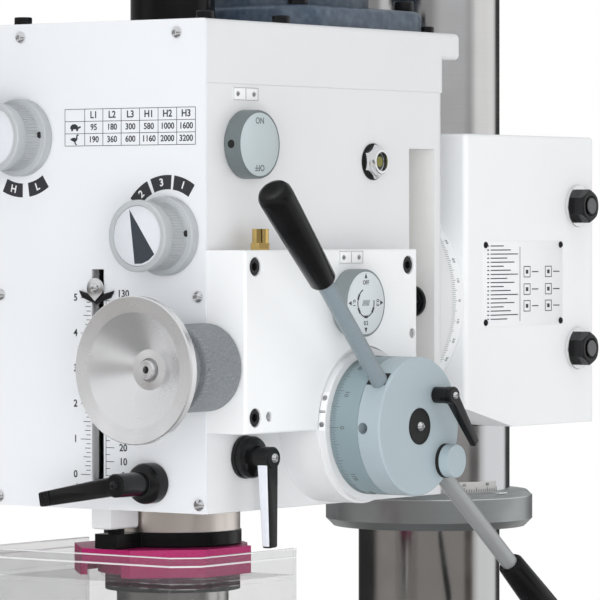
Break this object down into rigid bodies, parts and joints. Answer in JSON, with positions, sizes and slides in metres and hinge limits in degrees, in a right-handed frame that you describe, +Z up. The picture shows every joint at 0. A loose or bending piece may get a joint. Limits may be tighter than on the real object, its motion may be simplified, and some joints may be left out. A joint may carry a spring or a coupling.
{
  "type": "geared pillar drill",
  "caption": "Floor-standing geared drill: a column on a slotted base carries a rack-lifted tilting table and a tilting gear head with lever, fine and power feed.",
  "frame": {"origin": "column axis on the floor", "axes": "+Z up along the column; the operator stands on the -Y side and +X is at the operator's right hand"},
  "size_m": [0.42, 0.671, 1.9416],
  "materials": {
    "white_paint": "fine structured off-white paint",
    "stand_paint": "smooth light paint over cast iron",
    "grey_paint": "satin blue-grey paint",
    "motor_paint": "glossy dark blue paint",
    "ground_steel": "ground",
    "machine_steel": "machined, lightly oiled",
    "bright_fasteners": "polished",
    "black_oxide": "black oxide",
    "black_plastic": "satin",
    "turned_aluminium": "turned and polished",
    "bronze": "machined",
    "brass": "turned",
    "sight_glass": "dark plated rim",
    "guard_magenta": "gloss",
    "clear_shield": "clear",
    "switch_grey": "fine grain",
    "stop_red": "gloss"
  },
  "bodies": {
    "stand": {"base_plate": "stand_paint", "column_foot": "stand_paint", "foot_bolts": "bright_fasteners", "column_tube": "ground_steel", "column_cap": "black_plastic", "column_collar": "grey_paint", "thrust_sleeve": "ground_steel"},
    "table_rack": {"table_rack": "machine_steel"},
    "table_arm": {"table_arm": "stand_paint"},
    "lift_crank": {"lift_crank": "machine_steel", "crank_grip": "black_plastic"},
    "table_clamp": {"table_clamp_lever": "black_plastic"},
    "table_knee": {"table_knee": "stand_paint"},
    "drill_table": {"drill_table": "ground_steel"},
    "head_carrier": {"head_carrier": "white_paint", "carrier_nuts": "black_oxide"},
    "drill_head": {"gear_housing": "white_paint", "top_cover": "white_paint", "front_panel": "white_paint", "panel_screws": "bright_fasteners", "feed_box": "white_paint", "oil_cup": "brass", "sight_glass": "sight_glass", "tilt_nuts": "black_oxide", "motor_body": "motor_paint", "fan_cover": "motor_paint", "terminal_box": "motor_paint", "spindle_cap": "black_plastic", "guard_collar": "black_plastic", "guard_ring": "ground_steel", "return_spring": "machine_steel", "spring_cover": "machine_steel", "switch_box": "switch_grey"},
    "chuck_guard": {"guard_bracket": "guard_magenta", "guard_shield": "clear_shield"},
    "quill": {"quill_sleeve": "ground_steel", "depth_pointer": "black_plastic", "spindle_bearings": "machine_steel"},
    "spindle": {"spindle_shaft": "ground_steel"},
    "drive_gear": {"spindle_gear": "machine_steel"},
    "layshaft": {"layshaft_gears": "machine_steel"},
    "rotor": {"motor_rotor": "machine_steel"},
    "feed_hub": {"feed_pinion": "machine_steel", "feed_hub": "grey_paint", "feed_levers": "ground_steel", "feed_grips": "black_plastic"},
    "depth_ring": {"feed_scale_ring": "grey_paint"},
    "depth_clamp": {"hub_clamp_lever": "black_plastic"},
    "fine_feed": {"fine_feed_wheel": "turned_aluminium", "fine_feed_dial": "grey_paint", "worm_shaft": "machine_steel"},
    "worm_wheel": {"worm_wheel": "bronze"},
    "range_knob": {"range_knob": "grey_paint"},
    "speed_knob": {"speed_knob": "grey_paint"},
    "feed_on_knob": {"feed_on_knob": "grey_paint"},
    "feed_rate_knob": {"feed_rate_knob": "grey_paint"},
    "quill_lock": {"quill_lock_lever": "black_plastic"},
    "feed_lock": {"side_lock_lever": "black_plastic"},
    "estop_button": {"estop_button": "stop_red"},
    "mode_switch": {"mode_switch": "black_plastic"}
  },
  "joints": [
    {"name": "table_swing", "type": "hinge", "parent": "stand", "child": "table_rack", "pos_m": [0, 0, 0.3], "axis": [0, 0, 1], "range_deg": [-90, 90]},
    {"name": "table_lift", "type": "slide", "parent": "table_rack", "child": "table_arm", "axis": [0, 0, -1], "range_m": [-0.15, 0.33]},
    {"name": "crank_turn", "type": "hinge", "parent": "table_arm", "child": "lift_crank", "pos_m": [0, 0.09375, 0.655], "axis": [1, 0, 0], "range_deg": [-905, 415]},
    {"name": "table_clamp_turn", "type": "hinge", "parent": "table_arm", "child": "table_clamp", "pos_m": [-0.104, -0.05, 0.655], "axis": [0, 1, 0], "range_deg": [-35, 60]},
    {"name": "table_tilt", "type": "hinge", "parent": "table_arm", "child": "table_knee", "pos_m": [0, -0.2053, 0.655], "axis": [0, 1, 0], "range_deg": [-45, 45]},
    {"name": "table_turn", "type": "hinge", "parent": "table_knee", "child": "drill_table", "pos_m": [0, -0.33, 0.7], "axis": [0, 0, 1], "range_deg": [-180, 180]},
    {"name": "head_swing", "type": "hinge", "parent": "stand", "child": "head_carrier", "pos_m": [0, 0, 1.437], "axis": [0, 0, 1], "range_deg": [-90, 90]},
    {"name": "head_tilt", "type": "hinge", "parent": "head_carrier", "child": "drill_head", "pos_m": [0, -0.098, 1.436], "axis": [0, 1, 0], "range_deg": [-45, 30]},
    {"name": "guard_swing", "type": "hinge", "parent": "drill_head", "child": "chuck_guard", "pos_m": [0, -0.33, 1.248], "axis": [0, 0, 1], "range_deg": [-100, 0]},
    {"name": "quill_feed", "type": "slide", "parent": "drill_head", "child": "quill", "axis": [0, 0, -1], "range_m": [0, 0.13], "stiffness_N_per_m": 1200, "springref_m": -0.12},
    {"name": "feed_turn", "type": "hinge", "parent": "drill_head", "child": "feed_hub", "pos_m": [0, -0.273, 1.349], "axis": [1, 0, 0], "range_deg": [-2, 375]},
    {"name": "depth_ring_turn", "type": "hinge", "parent": "feed_hub", "child": "depth_ring", "pos_m": [0.149, -0.273, 1.349], "axis": [1, 0, 0], "range_deg": [-170, 170]},
    {"name": "depth_clamp_turn", "type": "hinge", "parent": "feed_hub", "child": "depth_clamp", "pos_m": [0.19, -0.253, 1.371], "axis": [1, 0, 0], "range_deg": [-30, 60]},
    {"name": "fine_feed_turn", "type": "hinge", "parent": "drill_head", "child": "fine_feed", "pos_m": [0.099, -0.46, 1.3936], "axis": [0, 1, 0], "continuous": true},
    {"name": "worm_wheel_turn", "type": "hinge", "parent": "drill_head", "child": "worm_wheel", "pos_m": [0.099, -0.273, 1.349], "axis": [1, 0, 0], "continuous": true},
    {"name": "motor_turn", "type": "hinge", "parent": "drill_head", "child": "rotor", "pos_m": [0, -0.2, 1.64], "axis": [0, 0, 1], "continuous": true},
    {"name": "layshaft_turn", "type": "hinge", "parent": "drill_head", "child": "layshaft", "pos_m": [-0.02598, -0.265, 1.54], "axis": [0, 0, 1], "continuous": true},
    {"name": "drive_gear_turn", "type": "hinge", "parent": "drill_head", "child": "drive_gear", "pos_m": [0, -0.33, 1.522], "axis": [0, 0, 1], "continuous": true},
    {"name": "spindle_turn", "type": "hinge", "parent": "quill", "child": "spindle", "pos_m": [0, -0.33, 1.24], "axis": [0, 0, 1], "continuous": true},
    {"name": "range_select", "type": "hinge", "parent": "drill_head", "child": "range_knob", "pos_m": [-0.07, -0.437, 1.557], "axis": [0, 1, 0], "range_deg": [-25, 25]},
    {"name": "speed_select", "type": "hinge", "parent": "drill_head", "child": "speed_knob", "pos_m": [0.064, -0.437, 1.486], "axis": [0, 1, 0], "range_deg": [-60, 60]},
    {"name": "feed_on_turn", "type": "hinge", "parent": "drill_head", "child": "feed_on_knob", "pos_m": [0.105, -0.372, 1.551], "axis": [1, 0, 0], "range_deg": [0, 90]},
    {"name": "feed_rate_turn", "type": "hinge", "parent": "drill_head", "child": "feed_rate_knob", "pos_m": [0.139, -0.2907, 1.4376], "axis": [1, 0, 0], "range_deg": [-135, 135]},
    {"name": "quill_lock_turn", "type": "hinge", "parent": "drill_head", "child": "quill_lock", "pos_m": [0.0506, -0.437, 1.3106], "axis": [0, 1, 0], "range_deg": [-40, 40]},
    {"name": "feed_lock_turn", "type": "hinge", "parent": "drill_head", "child": "feed_lock", "pos_m": [0.12, -0.373, 1.3287], "axis": [1, 0, 0], "range_deg": [-35, 35]},
    {"name": "estop_press", "type": "slide", "parent": "drill_head", "child": "estop_button", "axis": [0, 1, 0], "range_m": [0, 0.006], "stiffness_N_per_m": 800, "springref_m": -0.003},
    {"name": "mode_select", "type": "hinge", "parent": "drill_head", "child": "mode_switch", "pos_m": [-0.1285, -0.407, 1.486], "axis": [0, 1, 0], "range_deg": [-45, 45]}
  ],
  "couplings": [
    {"joint": "crank_turn", "follows": "table_lift", "rad_per_m": -47.619},
    {"joint": "feed_turn", "follows": "quill_feed", "rad_per_m": 50},
    {"joint": "worm_wheel_turn", "follows": "fine_feed_turn", "ratio": 0.033333},
    {"joint": "layshaft_turn", "follows": "motor_turn", "ratio": -0.48936},
    {"joint": "drive_gear_turn", "follows": "motor_turn", "ratio": 0.25532},
    {"joint": "spindle_turn", "follows": "motor_turn", "ratio": 0.25532}
  ]
}
